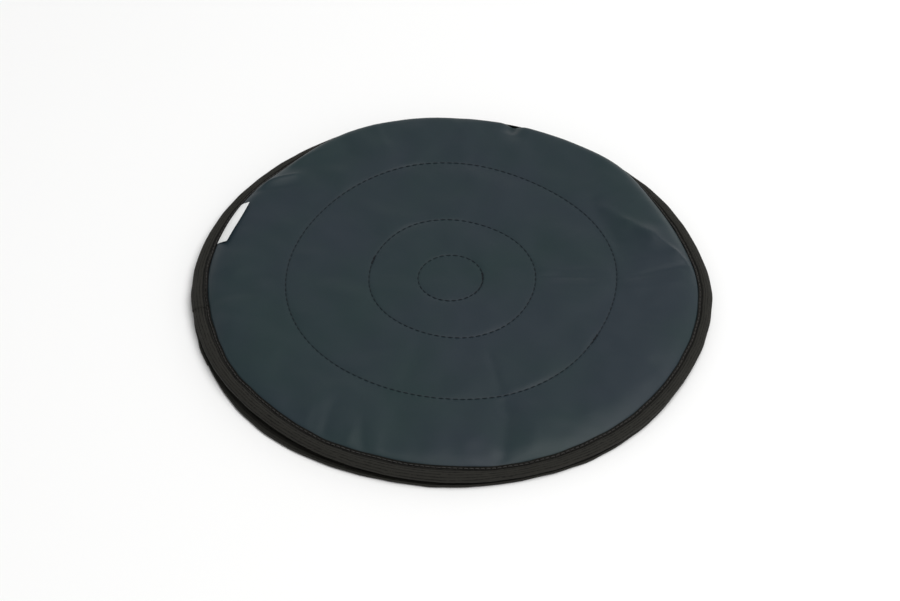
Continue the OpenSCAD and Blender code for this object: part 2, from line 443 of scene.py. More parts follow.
MATERIALS = {
    "cover_fabric": cover_fabric(),
    "binding_tape": binding_tape(),
    "binding_thread": thread("binding_thread", (0.048, 0.046, 0.043)),
    "quilting_thread": thread("quilting_thread", (0.004, 0.007, 0.011)),
    "label_satin": label_satin(),
    "grip_fabric": grip_fabric(),
    "felt": fibrous("felt", 0.3, 900.0, (6.0, 0.75), (0.10, 0.10, 0.105), (0.24, 0.24, 0.245),
                    (0.85, 1.0), 0.25, 0.9),
    "glide_nylon": glide_nylon(),
    "scrim": fibrous("scrim", 0.1, 1300.0, (5.0, 0.7), (0.42, 0.43, 0.43), (0.64, 0.65, 0.65),
                     (0.8, 0.95), 0.1, 0.8),
    "foam": foam(),
    "stiffener_sheet": moulded("stiffener_sheet", 0.5, 35.0, 4.0, (0.62, 0.63, 0.61), (0.72, 0.73, 0.70),
                               (0.3, 0.45), 220.0, 0.05, 0.3),
    "pivot_plastic": moulded("pivot_plastic", 0.55, 180.0, 3.0, (0.74, 0.73, 0.68), (0.83, 0.82, 0.77),
                             (0.22, 0.36), 900.0, 0.01, 0.4),
}

for subpart in frame["record"]["subparts"]:
    mesh = frame["nodes"][subpart["node"]].data
    mesh.materials.clear()
    mesh.materials.append(MATERIALS[subpart["material_slot"]])


# ---- the rims, hand-sewn and not quite round
# One value every 15 degrees from azimuth 0, in mm

seat_rim = around([224.6, 220.4, 218, 215.2, 212.6, 213, 214, 216, 216.8, 217, 218.5, 221,
                   223.4, 223.6, 223.2, 222.8, 222.9, 223.5, 224.5, 223.6, 224.8, 224.8, 223.4, 224])
base_rim = around([224, 220.3, 218, 215, 214.4, 215.4, 216.6, 218.4, 218, 217.6, 219.5, 221.5,
                   223.3, 224.3, 225.8, 228.6, 227.3, 225.3, 225.8, 225.1, 226.4, 225.2, 223.0, 223.8])
tape_edge = around([213.5, 209, 207.8, 212, 209.3, 208.6, 209.3, 211.5, 210.8, 206.6, 209, 210,
                    210.8, 209.6, 211.6, 211.0, 212.6, 211.8, 213, 215.8, 215.3, 215, 213.6, 213.9])
tape_edge_z = around([12.7, 11.7, 11.5, 12.5, 13.5, 14, 14, 14, 13.5, 12.5, 12, 11.4,
                      11.4, 11.4, 12, 12.3, 12.6, 12.8, 12.8, 12.7, 12.7, 12.7, 12.6, 12.6])
# One value every 30 degrees
crest = around([0.8, 1.5, 2.0, 2.3, 2.5, 1.2, 0.6, 0.5, 0.6, 0.7, 0.9, 0.9])
shoulder = around([9, 14, 26, 28, 26, 14, 7, 6, 6, 6, 6, 7])
tape_bulge = around([1.8, 0.8, 0.3, 0.3, 0.4, 1.4, 2.2, 2.4, 2.4, 2.4, 2.4, 2.1])
edge_ripple = ripples(11, 9, 22, 90)

NOSE_R = 1.95                       # of the seat tape's fold
NOSE_START = math.radians(50)       # where its top run meets the fold
NOMINAL_EDGE = 211.0                # the tape's inner edge, before it follows tape_edge
COVER_END = 220.0                   # the cover's, under the tape


def lift(theta):
    """The seat's rim stands off the base at the front left."""
    return 2.3 * bump(theta, 226, 29)


# ---- quilting rows
# wobble wanders in and out, in mm. The sewing starts at start and ends overlap past it, in degrees

ROWS = {
    "inner": dict(node="quilt_seam_inner",
                  wobble=lambda t: -0.9 * np.cos(t) + 0.9 * np.sin(t) + 0.3 * np.sin(2 * t),
                  start=18, overlap=62),
    "middle": dict(node="quilt_seam_middle",
                   wobble=lambda t: (0.7 * np.cos(t) + 1.3 * np.sin(t) - 0.7 * np.sin(2 * t)
                                     + 0.9 * np.sin(4 * t)),
                   start=167, overlap=9),
    "outer": dict(node="quilt_seam_outer",
                  wobble=lambda t: (1.4 * np.sin(t) - 0.75 * np.cos(2 * t) - 0.8 * np.sin(3 * t)
                                    + 1.8 * np.sin(4 * t) + 0.6 * np.cos(4 * t) + 0.6 * np.sin(5 * t)),
                  start=333, overlap=5),
}
THREAD_W = 0.7
for row in ROWS.values():
    row["r"] = span(row["node"], 1, 0) - THREAD_W / 2
ROW_R = [row["r"] for row in ROWS.values()]
ROW_REACH = 34.0      # how far from a row its wandering moves the fabric


def plan_radius(rho, theta):
    """The real radius of a nominal one: rows wander by hand, and the edge follows the tape."""
    r = np.asarray(rho, float) + 0 * theta
    for row in ROWS.values():
        r = r + row["wobble"](theta) * np.maximum(0, 1 - np.abs(rho - row["r"]) / ROW_REACH)
    outside = np.clip((rho - ROW_R[2]) / (NOMINAL_EDGE - ROW_R[2]), 0, 1)
    under_tape = np.clip((rho - NOMINAL_EDGE) / (COVER_END - NOMINAL_EDGE), 0, None)
    r = np.minimum(r, NOMINAL_EDGE) + (tape_edge(theta) - NOMINAL_EDGE) * outside
    return r + under_tape * (seat_rim(theta) - 3.3 - tape_edge(theta))


# ---- the cover's surface

CLOTH_GAP = 5.5         # between the points of the simulated fabric
CLOTH_HALF = 40         # points from the middle to each side
CLOTH_FRAMES = 26
CLOTH_GROWTH = 0.008    # how much too large the fabric is cut
CLOTH_START = 0.25      # standard deviation of the heights it starts from
CLOTH_SEWN, CLOTH_RIM = 206, 214        # where it is held down, and where it ends
SLACK_HEIGHT = 0.36     # standard deviation of the simulated heights that are kept
SLACK_LIMIT = 1.1
CRUMPLES = 70
CRUMPLE_REACH = 40
DIP = 0.3               # how far a row is pulled down
PULL = 0.35             # the sharp part of it, right at the thread
BAND_CRESTS = [0.05, 0.35, 0.55]
NOTCH_AT, NOTCH_WIDTH = 74.8, 1.7       # azimuths in degrees, where the cover is pulled down at the rim
NOTCH_DEPTH = 3.2

# Folds: start x, y, end x, y, height, half-width at the start and the end, all in mm
FOLDS = [
    (130, 93, 172, 57, 1.7, 13, 10), (172, 57, 207, 22, 1.7, 10, 7),
    (133, 91, 154, 72, 0.7, 3, 3), (154, 72, 195, 36, 1.0, 3, 2.4), (195, 36, 210, 16, 0.9, 2.4, 2.4),
    (125, 100, 142, 54, -2.0, 10, 13), (150, 50, 186, 28, -0.6, 8, 6),
    (156, 5, 199, 19, -1.0, 4, 4), (160, 24, 193, 31, 0.5, 7, 6), (160, -8, 205, 2, 0.3, 7, 6),
    (82, 4, 122, 3, -0.7, 3.5, 4), (84, 12, 120, 11, 0.35, 5, 5), (92, -6, 128, -7, 0.25, 5, 6),
    (-182, 112, -142, 125, 1.8, 3.5, 3.5), (-176, 106, -146, 113, -0.9, 5, 6),
    (-150, 93, -128, 86, -0.5, 8, 9),
    (-163, 133, -130, 140, -0.8, 5, 8), (-146, 148, -120, 158, 0.7, 6, 6),
    (-74, 200, -62, 168, 0.7, 4, 6), (-52, 202, -46, 176, -0.4, 6, 8),
    (57, 207, 53, 192, -1.5, 8, 6), (46, 208, 40, 188, 0.7, 5, 6), (67, 202, 64, 186, 0.5, 5, 6),
    (42, -214, 50, -160, -1.8, 8, 8), (46, -150, 34, -92, -1.1, 6, 5),
    (66, -207, 72, -176, 0.9, 9, 12), (20, -211, 10, -185, 0.6, 12, 12), (56, -128, 84, -118, 0.8, 9, 9),
    (-119, -176, -114, -148, 0.6, 7, 9), (-105, -190, -98, -155, -1.0, 7, 6),
    (-84, -200, -80, -178, 0.7, 6, 6), (-70, -204, -72, -170, -0.7, 5, 5), (-60, -206, -58, -184, 0.5, 6, 6),
    (132, -93, 158, -118, 0.8, 14, 18), (106, -78, 132, -146, -0.6, 14, 14),
    (-207, -31, -184, -22, -0.5, 6, 9), (-208, -58, -186, -56, 0.4, 8, 9), (-205, 5, -180, 10, 0.35, 7, 8),
    (196, -60, 168, -50, -0.4, 7, 10), (181, -110, 160, -92, -0.5, 6, 9), (118, -176, 104, -152, -0.5, 7, 9),
    (6, 208, 2, 182, -0.45, 5, 8), (-104, 182, -92, 156, -0.5, 6, 8), (96, 186, 84, 160, -0.5, 6, 9),
]


def fold(x, y, x0, y0, x1, y1, height, w0, w1):
    """A soft ridge or valley along a line, fading out beyond its ends."""
    dx, dy = x1 - x0, y1 - y0
    length = math.hypot(dx, dy)
    along = ((x - x0) * dx + (y - y0) * dy) / length
    across = ((x - x0) * dy - (y - y0) * dx) / length
    width = w0 + (w1 - w0) * np.clip(along / length, 0, 1)
    beyond = np.maximum(0, np.maximum(-along, along - length))
    distance = np.hypot(across, beyond * 0.6) / width
    return height / (1 + distance**2) ** 1.5 * smooth(3.2, 1.6, distance)


def undulation(x, y, seed, count, shortest, longest):
    """A random height field of standard deviation 1, made of plane waves with the given lengths in mm."""
    rng = np.random.default_rng(seed)
    total = 0
    for _ in range(count):
        k = TAU / rng.uniform(shortest, longest)
        a, p = rng.uniform(0, TAU), rng.uniform(0, TAU)
        total = total + np.sin(k * (x * math.cos(a) + y * math.sin(a)) + p)
    return total * math.sqrt(2 / count)


def crumples(x, y):
    """Short faint creases, thrown at random but the same each time, radial near the rim."""
    rng = np.random.default_rng(5)
    total = np.zeros_like(x)
    for _ in range(CRUMPLES):
        r, a = 205 * math.sqrt(rng.uniform(0.02, 1)), rng.uniform(0, TAU)
        turn = a + rng.normal(0, 0.35) if r > 150 else rng.uniform(0, TAU)
        half = rng.uniform(5, 14)
        x0, y0 = r * math.cos(a), r * math.sin(a)
        near = (np.abs(x - x0) < CRUMPLE_REACH) & (np.abs(y - y0) < CRUMPLE_REACH)
        total[near] += fold(x[near], y[near], x0 - half * math.cos(turn), y0 - half * math.sin(turn),
                            x0 + half * math.cos(turn), y0 + half * math.sin(turn),
                            rng.uniform(-0.16, 0.16), rng.uniform(1.8, 3.5), rng.uniform(1.8, 3.5))
    return total


def simulate_slack():
    """Heights in mm on a square grid of fabric cut a little too large, sewn down at the rows and rim."""
    side = np.arange(-CLOTH_HALF, CLOTH_HALF + 1) * CLOTH_GAP
    x, y = np.meshgrid(side, side, indexing="ij")
    n = len(side)
    r = np.hypot(x, y)
    sewn = (r > CLOTH_SEWN) | np.any([np.abs(r - row_r) < 0.55 * CLOTH_GAP for row_r in ROW_R], axis=0)
    used = r < CLOTH_RIM
    i, j = np.nonzero(used[:-1, :-1] & used[1:, :-1] & used[1:, 1:] & used[:-1, 1:])
    faces = np.stack([i * n + j, (i + 1) * n + j, (i + 1) * n + j + 1, i * n + j + 1], axis=-1)
    kept = np.unique(faces)
    index = np.zeros(n * n, int)
    index[kept] = np.arange(len(kept))
    start = CLOTH_START * undulation(x, y, 8, 24, 25, 80) * ~sewn
    points = np.stack([x, y, start], axis=-1).reshape(-1, 3)[kept]
    cloth = build("slack", [(points, index[faces].tolist(), None)], MATERIALS["cover_fabric"])
    cloth.vertex_groups.new(name="sewn").add(np.nonzero(sewn.ravel()[kept])[0].tolist(), 1.0, "REPLACE")
    modifier = cloth.modifiers.new("cloth", "CLOTH")
    settings = modifier.settings
    settings.quality = 8
    settings.mass = 0.02
    settings.tension_stiffness = settings.compression_stiffness = 12
    settings.shear_stiffness = 5
    settings.bending_stiffness = 0.4
    settings.air_damping = 3
    settings.shrink_min = settings.shrink_max = -CLOTH_GROWTH
    settings.vertex_group_mass = "sewn"
    settings.effector_weights.gravity = 0
    modifier.point_cache.frame_start, modifier.point_cache.frame_end = 1, CLOTH_FRAMES
    for step in range(1, CLOTH_FRAMES + 1):
        bpy.context.scene.frame_set(step)
    settled = cloth.evaluated_get(bpy.context.evaluated_depsgraph_get()).data
    ends = np.zeros(len(kept) * 3)
    settled.vertices.foreach_get("co", ends)
    bpy.data.objects.remove(cloth)
    bpy.context.scene.frame_set(1)
    heights = np.zeros(n * n)
    heights[kept] = ends[2::3] / MM
    return heights.reshape(n, n)


def softened(grid):
    """A grid of heights with each point averaged with its neighbours."""
    for axis in (0, 1):
        grid = 0.25 * np.roll(grid, 1, axis) + 0.5 * grid + 0.25 * np.roll(grid, -1, axis)
    return grid


def spread(grid):
    """A square grid of heights as a smooth function of x and y, by cubic pieces."""

    def weights(f):
        return (0.5 * f * (f * (2 - f) - 1), 0.5 * (f * f * (3 * f - 5) + 2),
                0.5 * f * (f * (4 - 3 * f) + 1), 0.5 * f * f * (f - 1))

    def at(x, y):
        u, v = x / CLOTH_GAP + CLOTH_HALF, y / CLOTH_GAP + CLOTH_HALF
        i = np.clip(np.floor(u).astype(int), 1, 2 * CLOTH_HALF - 2)
        j = np.clip(np.floor(v).astype(int), 1, 2 * CLOTH_HALF - 2)
        wi, wj = weights(u - i), weights(v - j)
        return sum(wi[a] * wj[b] * grid[i + a - 1, j + b - 1] for a in range(4) for b in range(4))

    return at


slack_grid = softened(simulate_slack())
slack_grid = np.clip(slack_grid * SLACK_HEIGHT / slack_grid.std(), -SLACK_LIMIT, SLACK_LIMIT)
slack = spread(slack_grid)


def pillow(u, power):
    """0 at both ends of a band and 1 in the middle."""
    return 1 - np.abs(2 * u - 1) ** power


def tape_top(r, theta):
    """Height of the seat tape's upper face, at a plan radius outside its inner edge."""
    start, start_z = tape_edge(theta), tape_edge_z(theta) + lift(theta)
    end = seat_rim(theta) - NOSE_R * (1 - math.cos(NOSE_START))
    end_z = SEAT_BOTTOM + lift(theta) + NOSE_R * (1 + math.sin(NOSE_START))
    s = np.clip((r - start) / (end - start), 0, 1)
    return start_z + (end_z - start_z) * s + 0.9 * np.sin(math.pi * np.clip(s * 1.12 - 0.12, 0, 1))


def cover_z(rho, theta):
    """Height of the cover over a nominal radius."""
    rho, theta = np.broadcast_arrays(np.asarray(rho, float), np.asarray(theta, float))
    row_z = TOP - DIP - 0.5 * bump(theta, 303, 24) * np.exp(-(((rho - ROW_R[2]) / 14) ** 2))
    bounds = [-ROW_R[0], *ROW_R]
    z = np.full(rho.shape, row_z)
    for low, high, rise in zip(bounds[:-1], bounds[1:], BAND_CRESTS):
        inside = (rho >= max(low, 0)) & (rho < high)
        z = np.where(inside, row_z + (DIP + rise) * pillow((rho - low) / (high - low), 2.6), z)
    s = np.clip((rho - ROW_R[2]) / (NOMINAL_EDGE - ROW_R[2]), 0, 1)
    edge_z = tape_edge_z(theta) + lift(theta) - TAPE_T - COVER_GAP
    crest_z = TOP + crest(theta)
    outer = row_z + (crest_z - row_z) * (1 - (1 - s) ** 2.5) - (crest_z - edge_z) * s ** shoulder(theta)
    z = np.where(rho >= ROW_R[2], outer, z)
    for row_r in ROW_R:
        z = z - PULL * np.exp(-np.abs(rho - row_r) / 1.1)

    r = plan_radius(rho, theta)
    x, y = r * np.cos(theta), r * np.sin(theta)
    held = 1 - 0.75 * sum(np.exp(-(((rho - row_r) / 4) ** 2)) for row_r in ROW_R)
    free = held * smooth(NOMINAL_EDGE + 2, NOMINAL_EDGE - 7, rho)
    named = sum(fold(x, y, *f) for f in FOLDS)
    soft = 0.24 * undulation(x, y, 3, 26, 34, 90) + 0.04 * undulation(x, y, 4, 30, 12, 30) + slack(x, y)
    z = z + (named + soft + crumples(x, y)) * np.maximum(free, 0.12 * (rho < NOMINAL_EDGE + 2))
    notch = bump(theta, NOTCH_AT, NOTCH_WIDTH) * smooth(NOMINAL_EDGE - 18, NOMINAL_EDGE - 6, rho)
    z = z - NOTCH_DEPTH * notch
    seam_pull = SEAM_DEPTH * smooth(-0.6, 0.8, r - tape_edge(theta))
    beneath = tape_top(r, theta) - TAPE_T - COVER_GAP - seam_pull
    return np.where(rho > NOMINAL_EDGE - 0.4, np.minimum(z, beneath), z)


def cover_rings():
    """Nominal radii, close together at the rows and towards the tape."""
    rings = [3.0, 8.0, 13.0, 18.0]
    for row_r, gap in zip(ROW_R, (4.4, 5.0, 5.5)):
        start = rings[-1] + gap
        while start < row_r - 5:
            rings.append(start)
            start += gap
        rings += [row_r + d for d in (-4.2, -2.6, -1.5, -0.8, -0.3, 0, 0.3, 0.8, 1.5, 2.6, 4.2)]
    rings += list(np.arange(ROW_R[2] + 8, 190, 3.2)) + list(np.arange(190, NOMINAL_EDGE - 0.5, 1.25))
    rings += [NOMINAL_EDGE - 0.3, NOMINAL_EDGE + 0.6, NOMINAL_EDGE + 2.5, NOMINAL_EDGE + 5.5, COVER_END]
    return np.array(rings)


AZIMUTHS = 480
theta_cover = np.arange(AZIMUTHS) * TAU / AZIMUTHS
rings = cover_rings()[:, None]
cover_points = polar(plan_radius(rings, theta_cover), theta_cover, cover_z(rings, theta_cover))

seat_cover = build("seat_cover_skin", [disc_grid(cover_points)], MATERIALS["cover_fabric"], "seat")
solidify(seat_cover, COVER_T)
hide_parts("seat_cover")


# ---- foam, backing and liners


theta_sheet = np.arange(240) * TAU / 240


def ring_disc(name, hole, outer, height, thickness, material, body):
    """A thin round sheet with a hole. outer(theta) is its rim and height(r, theta) its lower face."""
    theta = theta_sheet
    share = np.concatenate([np.linspace(0, 0.9, 22), np.linspace(0.905, 1, 14)])[:, None]
    r = hole + (outer(theta) - hole) * share
    low = polar(r, theta, height(r, theta))
    high = low + np.array([0, 0, thickness])
    loops = np.concatenate([low, high[::-1]]).transpose(1, 0, 2)
    n = loops.shape[1]
    piece = build(name, [sweep(loops, np.zeros(len(theta) + 1), np.zeros(n + 1))], MATERIALS[material], body)
    return piece


def stepped(z, edge_z, edge_lift=None):
    """A height that steps from z to edge_z before the tape, and may follow a lifted rim."""
    return lambda r, theta: (z + (edge_z - z) * smooth(STEP_FROM, STEP_TO, r)
                             + (edge_lift(theta) if edge_lift else 0) * smooth(RISE_FROM, RISE_TO, r))


FOAM_GAP = 1.0          # from the cover's upper face down to the foam
CAP_POCKET = 2.6        # the foam's hollow over the pivot's cap, across its two innermost rings
FOAM_MIN = 0.3
foam_rho = np.array([5, 12, 20, *ROW_R, 40, 55, 64, 80, 100, 120, 135, 152, 165, 178, 186, 193, 198,
                     202, 205, 208, 210, 213, 216])
foam_rho = np.sort(foam_rho)[:, None]
foam_top = polar(plan_radius(foam_rho, theta_sheet), theta_sheet, cover_z(foam_rho, theta_sheet) - FOAM_GAP)
foam_low = foam_top.copy()
foam_low[..., 2] = FOAM_BOTTOM + lift(theta_sheet) * smooth(RISE_FROM, RISE_TO, foam_rho)
foam_low[:2, :, 2] = FOAM_BOTTOM + CAP_POCKET
foam_top[..., 2] = np.maximum(foam_top[..., 2], foam_low[..., 2] + FOAM_MIN)


def closed_pad(top, low):
    """Faces of a pad from its upper and lower grids, joined round the rim."""
    top_points, top_faces, _ = disc_grid(top)
    low_points, low_faces, _ = disc_grid(low, down=True)
    n, turns, last = len(top_points), top.shape[1], (top.shape[0] - 1) * top.shape[1]
    faces = top_faces + [[i + n for i in f] for f in low_faces]
    for k in range(turns):
        j = (k + 1) % turns
        faces.append([last + k, n + last + k, n + last + j, last + j])
    return np.concatenate([top_points, low_points]), faces, None


seat_foam = build("seat_foam_pad", [closed_pad(foam_top, foam_low)], MATERIALS["foam"], "seat")
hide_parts("seat_foam")


def inside_seat(theta):
    """Where the sheets inside the seat's tape end."""
    return seat_rim(theta) - 3.2


def inside_base(theta):
    """Where the sheets inside the base's tape end."""
    return base_rim(theta) - 2.8


LINER_HOLE, BACKING_HOLE = 15.5, 14.0
seat_liner = ring_disc("seat_liner_sheet", LINER_HOLE, inside_seat,
                       stepped(SEAT_BOTTOM, SEAT_BOTTOM + TAPE_T + 0.05, lift),
                       LINER_T, "glide_nylon", "seat")
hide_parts("seat_glide_liner")

seat_backing = ring_disc("seat_backing_scrim", BACKING_HOLE, inside_seat,
                         stepped(FOAM_BOTTOM - LINER_T, FOAM_BOTTOM - LINER_T, lift),
                         SCRIM_T, "scrim", "seat")
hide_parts("seat_backing")

base_liner = ring_disc("base_liner_sheet", LINER_HOLE, inside_base,
                       stepped(span("base_glide_liner", 1, 2) - LINER_T, BASE_TOP - TAPE_T - LINER_T - 0.05),
                       LINER_T, "glide_nylon", "base")
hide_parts("base_glide_liner")


# ---- binding tapes

RIB = 1.3                                   # from one rib to the next
RIB_HEIGHT = 0.26
TAPE_START, BASE_TAPE_START = 184, 199      # azimuths of the joints, in degrees
OVERLAP_DEG = 5.5


def offset_inward(points, distance):
    """Each profile (.., point, 2) moved to its inner side, left of the way it runs."""
    forward = np.gradient(points, axis=-2)
    normal = np.stack([-forward[..., 1], forward[..., 0]], axis=-1)
    normal /= np.linalg.norm(normal, axis=-1, keepdims=True)
    return points - normal * np.asarray(distance)[..., None]


def tape_profiles(rim, edge, edge_z, bottom, nose_r, top_samples, nose_samples, low_samples):
    """Outer faces of a folded tape: top run, nose and bottom run, as (azimuth, point, [radius, height])."""
    s = np.linspace(0, 1, top_samples)[None, :]
    rim, edge, edge_z, bottom = (np.asarray(v, float)[:, None] for v in (rim, edge, edge_z, bottom))
    end = rim - nose_r * (1 - math.cos(NOSE_START))
    end_z = bottom + nose_r * (1 + math.sin(NOSE_START))
    top = np.stack([edge + (end - edge) * s, edge_z + (end_z - edge_z) * s], axis=-1)
    a = np.linspace(NOSE_START, -math.pi / 2, nose_samples)[None, 1:]
    nose = np.stack([rim - nose_r + nose_r * np.cos(a), bottom + nose_r + nose_r * np.sin(a)], axis=-1)
    b = np.linspace(0, 1, low_samples)[None, 1:]
    low_end = TAPE_W / 2 - nose_r * math.pi / 2
    low = np.stack([rim - nose_r - low_end * b, bottom + 0 * b + 0 * rim], axis=-1)
    return np.concatenate([top, nose, low], axis=1)


def tape_lengths(profiles):
    """Distance along each profile from its first point."""
    steps = np.linalg.norm(np.diff(profiles, axis=1), axis=-1)
    return np.concatenate([np.zeros((len(profiles), 1)), np.cumsum(steps, axis=1)], axis=1)


def swollen(profiles, bulge, seam_depth):
    """The tape bulges over the edge beneath it, by bulge at each azimuth, and is pulled in by its seam."""
    w = tape_lengths(profiles)
    total = w[:, -1:]
    low_seam = total - SEAM_INSET
    share = np.clip((w - 1.4 * SEAM_INSET) / (0.4 * total), 0, 1)
    rise = np.reshape(bulge, (-1, 1)) * np.sin(math.pi * share) ** 0.8
    seams = np.exp(-(((w - SEAM_INSET) / 1.6) ** 2)) + np.exp(-(((w - low_seam) / 1.6) ** 2))
    return offset_inward(profiles, seam_depth * seams - rise)


def ribbed(profiles):
    """The profiles with ribs that run along the tape, and the distances along them."""
    w = tape_lengths(profiles)
    return offset_inward(profiles, -RIB_HEIGHT * (np.abs(np.sin(math.pi * w / RIB)) - 0.5)), w


def tape(name, node, body, theta, profiles, layer, low, high):
    """A closed strip of tape along theta, kept between two heights. layer(theta, share of the tape's width)
    lifts its outer face, where its end lies over its start."""
    w = tape_lengths(profiles)
    lifted = offset_inward(profiles, -layer(theta[:, None], w / w[:, -1:]))
    outer, w = ribbed(lifted)
    outer[..., 1] = np.clip(outer[..., 1], low, high)
    inner = offset_inward(lifted, np.full(w.shape, TAPE_T))[:, ::-4]
    outer_3d = polar(outer[..., 0], theta[:, None], outer[..., 1])
    inner_3d = polar(inner[..., 0], theta[:, None], inner[..., 1])
    loops = np.concatenate([outer_3d, inner_3d], axis=1)
    along = (theta - theta[0]) * RIM * MM
    across = np.concatenate([w[0], w[0, ::-4], w[0, :1]]) * MM
    piece = build(name, [sweep(loops, along, across, closed=False)], MATERIALS["binding_tape"], body)
    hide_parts(node)
    return piece


def once_round(start_deg, steps):
    """Azimuths once round and a little further."""
    return math.radians(start_deg) + np.linspace(0, TAU + math.radians(OVERLAP_DEG), steps)


def past_start(theta, start_deg):
    """0 until the tape is nearly back at its start, then 1."""
    return smooth(-0.6, 0.0, (theta - math.radians(start_deg) - TAU) / math.radians(OVERLAP_DEG))


def seat_tape_profiles(theta):
    jitter = 0.2 * edge_ripple(theta)
    rim = seat_rim(theta) + 0.12 * edge_ripple(theta + 1)
    edge_z = tape_edge_z(theta) + lift(theta) - 0.25 * jitter
    profiles = tape_profiles(rim, tape_edge(theta) + jitter, edge_z, SEAT_BOTTOM + lift(theta), NOSE_R,
                             52, 22, 30)
    return swollen(profiles, tape_bulge(theta), SEAM_DEPTH)


def seat_layer(theta, share):
    """The end lies over the start on the upper half of the tape's width."""
    return 0.55 * past_start(theta, TAPE_START) * smooth(0.62, 0.48, share)


NO_LIMIT = 30       # above anything here
theta_seat = once_round(TAPE_START, 560)
seat_tape = tape("seat_tape", "seat_binding", "seat", theta_seat, seat_tape_profiles(theta_seat),
                 seat_layer, SEAT_BOTTOM - 0.05, NO_LIMIT)


BASE_TAPE_SHOWS = 14.1
BASE_SEAM_DEPTH = 0.25


def base_tape_profiles(theta):
    rim = base_rim(theta) + 0.15 * edge_ripple(theta + 2)
    profiles = tape_profiles(rim, base_rim(theta) - BASE_TAPE_SHOWS, np.full(theta.shape, BASE_TOP),
                             np.zeros(theta.shape), BASE_TOP / 2, 40, 18, 30)
    return swollen(profiles, 0 * theta, BASE_SEAM_DEPTH)


def base_layer(theta, share):
    """The joint is thicker at the rim, halfway across the tape."""
    return 0.6 * past_start(theta, BASE_TAPE_START) * np.exp(-(((share - 0.5) / 0.08) ** 2))


theta_base = once_round(BASE_TAPE_START, 420)
base_tape = tape("base_tape", "base_binding", "base", theta_base, base_tape_profiles(theta_base),
                 base_layer, 0, BASE_TOP + 0.1)


# ---- stitches

THREAD_SIDES = 6
STITCH_SHAPE = np.array([(-0.5, -0.9), (-0.44, -0.15), (-0.3, 0.55), (0, 0.8),
                         (0.3, 0.55), (0.44, -0.15), (0.5, -0.9)])
STITCH_HEIGHT = 0.5


def stitch(a, b, up, radius):
    """One stitch from a to b: a bead of thread that rises from its hole and goes back down."""
    a, b = np.asarray(a, float), np.asarray(b, float)
    along = b - a
    side = np.cross(along, up)
    side /= np.linalg.norm(side)
    up = np.cross(side, along)
    up /= np.linalg.norm(up)
    middle = (a + b) / 2
    angles = np.arange(THREAD_SIDES) * TAU / THREAD_SIDES
    ring = np.cos(angles)[:, None] * side + np.sin(angles)[:, None] * up
    points, faces = [], []
    for along_share, height in STITCH_SHAPE:
        thick = radius * (1 - 0.35 * abs(2 * along_share) ** 4)
        points.append(middle + along * along_share + up * height * STITCH_HEIGHT + ring * thick)
    points = np.concatenate(points)
    n = THREAD_SIDES
    for i in range(len(STITCH_SHAPE) - 1):
        for k in range(n):
            faces.append([i * n + k, i * n + (k + 1) % n, (i + 1) * n + (k + 1) % n, (i + 1) * n + k])
    faces.append(list(range(n - 1, -1, -1)))
    faces.append(list(range(len(points) - n, len(points))))
    return points, faces, None


def stitch_line(point, start, turn, pitch, radius, seed):
    """Stitches along point(t), for t over an arc that starts at start and is turn long, in radians."""
    rng = np.random.default_rng(seed)
    middle = point(start + turn / 2)
    length = abs(turn) * math.hypot(middle[0], middle[1])
    count = max(1, round(length / pitch))
    made = []
    for i in range(count):
        t0 = start + turn * (i + STITCH_GAP / 2 + rng.normal(0, 0.02)) / count
        t1 = start + turn * (i + 1 - STITCH_GAP / 2 + rng.normal(0, 0.02)) / count
        made.append(stitch(point(t0), point(t1), UP, radius * rng.uniform(0.92, 1.08)))
    return made


STITCH_GAP = 0.16       # between two stitches, as a share of the pitch
UP = (0, 0, 1)
QUILT_PITCH, QUILT_THREAD, BOBBIN_THREAD = 6.0, 0.3, 0.12
KNOT_LENGTH = 9
SEAM_PITCH, SEAM_THREAD = 4.5, 0.42


def quilting(name, row, seed):
    """The needle thread over the cover and the bobbin thread under the backing, with an overstitched end."""

    def over(t, aside=0.0):
        t = np.asarray(t, float)
        rho = np.array(row["r"] + aside)
        return polar(plan_radius(rho, t), t, cover_z(rho, t) + 0.05)

    def under(t):
        t = np.asarray(t, float)
        return polar(plan_radius(np.array(row["r"]), t), t, FOAM_BOTTOM - LINER_T - 0.1)

    start, overlap = math.radians(row["start"]), math.radians(row["overlap"])
    once = TAU - 0.02
    knot = KNOT_LENGTH / row["r"]
    pitch, thick = QUILT_PITCH, QUILT_THREAD
    parts = stitch_line(over, start, once, pitch, thick, seed)
    parts += stitch_line(lambda t: over(t, 0.5), start, -overlap, pitch * 0.8, thick, seed + 1)
    parts += stitch_line(lambda t: over(t, -0.3), start, -knot, pitch * 0.5, 1.6 * thick, seed + 3)
    parts += stitch_line(under, start, once, pitch, BOBBIN_THREAD, seed + 2)
    piece = build(name, parts, MATERIALS["quilting_thread"], "seat")
    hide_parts(row["node"])


for number, (row_name, row) in enumerate(ROWS.items()):
    quilting("quilting_" + row_name, row, 40 + 3 * number)


def seam_point(profiles_of, inset, raise_by):
    """A point on the tape's outer face, a distance along its profile from its inner edge, or from its lower
    edge if the distance is negative."""

    def at(t):
        profile = profiles_of(np.array([float(t)]))
        w = tape_lengths(profile)[0]
        where = inset if inset > 0 else w[-1] + inset
        r, z = (np.interp(where, w, profile[0, :, k]) for k in (0, 1))
        return polar(r, float(t), z + raise_by)

    return at


def seam(name, node, body, profiles_of, seed):
    """Two threads through the tape, one on each fold."""
    start = math.radians(TAPE_START)
    once = TAU - 0.01
    upper = seam_point(profiles_of, SEAM_INSET, 0.25)
    lower = seam_point(profiles_of, -SEAM_INSET, 0.1)
    parts = stitch_line(upper, start, once, SEAM_PITCH, SEAM_THREAD, seed)
    parts += stitch_line(lower, start, once, SEAM_PITCH, SEAM_THREAD * 0.6, seed + 1)
    piece = build(name, parts, MATERIALS["binding_thread"], body)
    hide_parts(node)


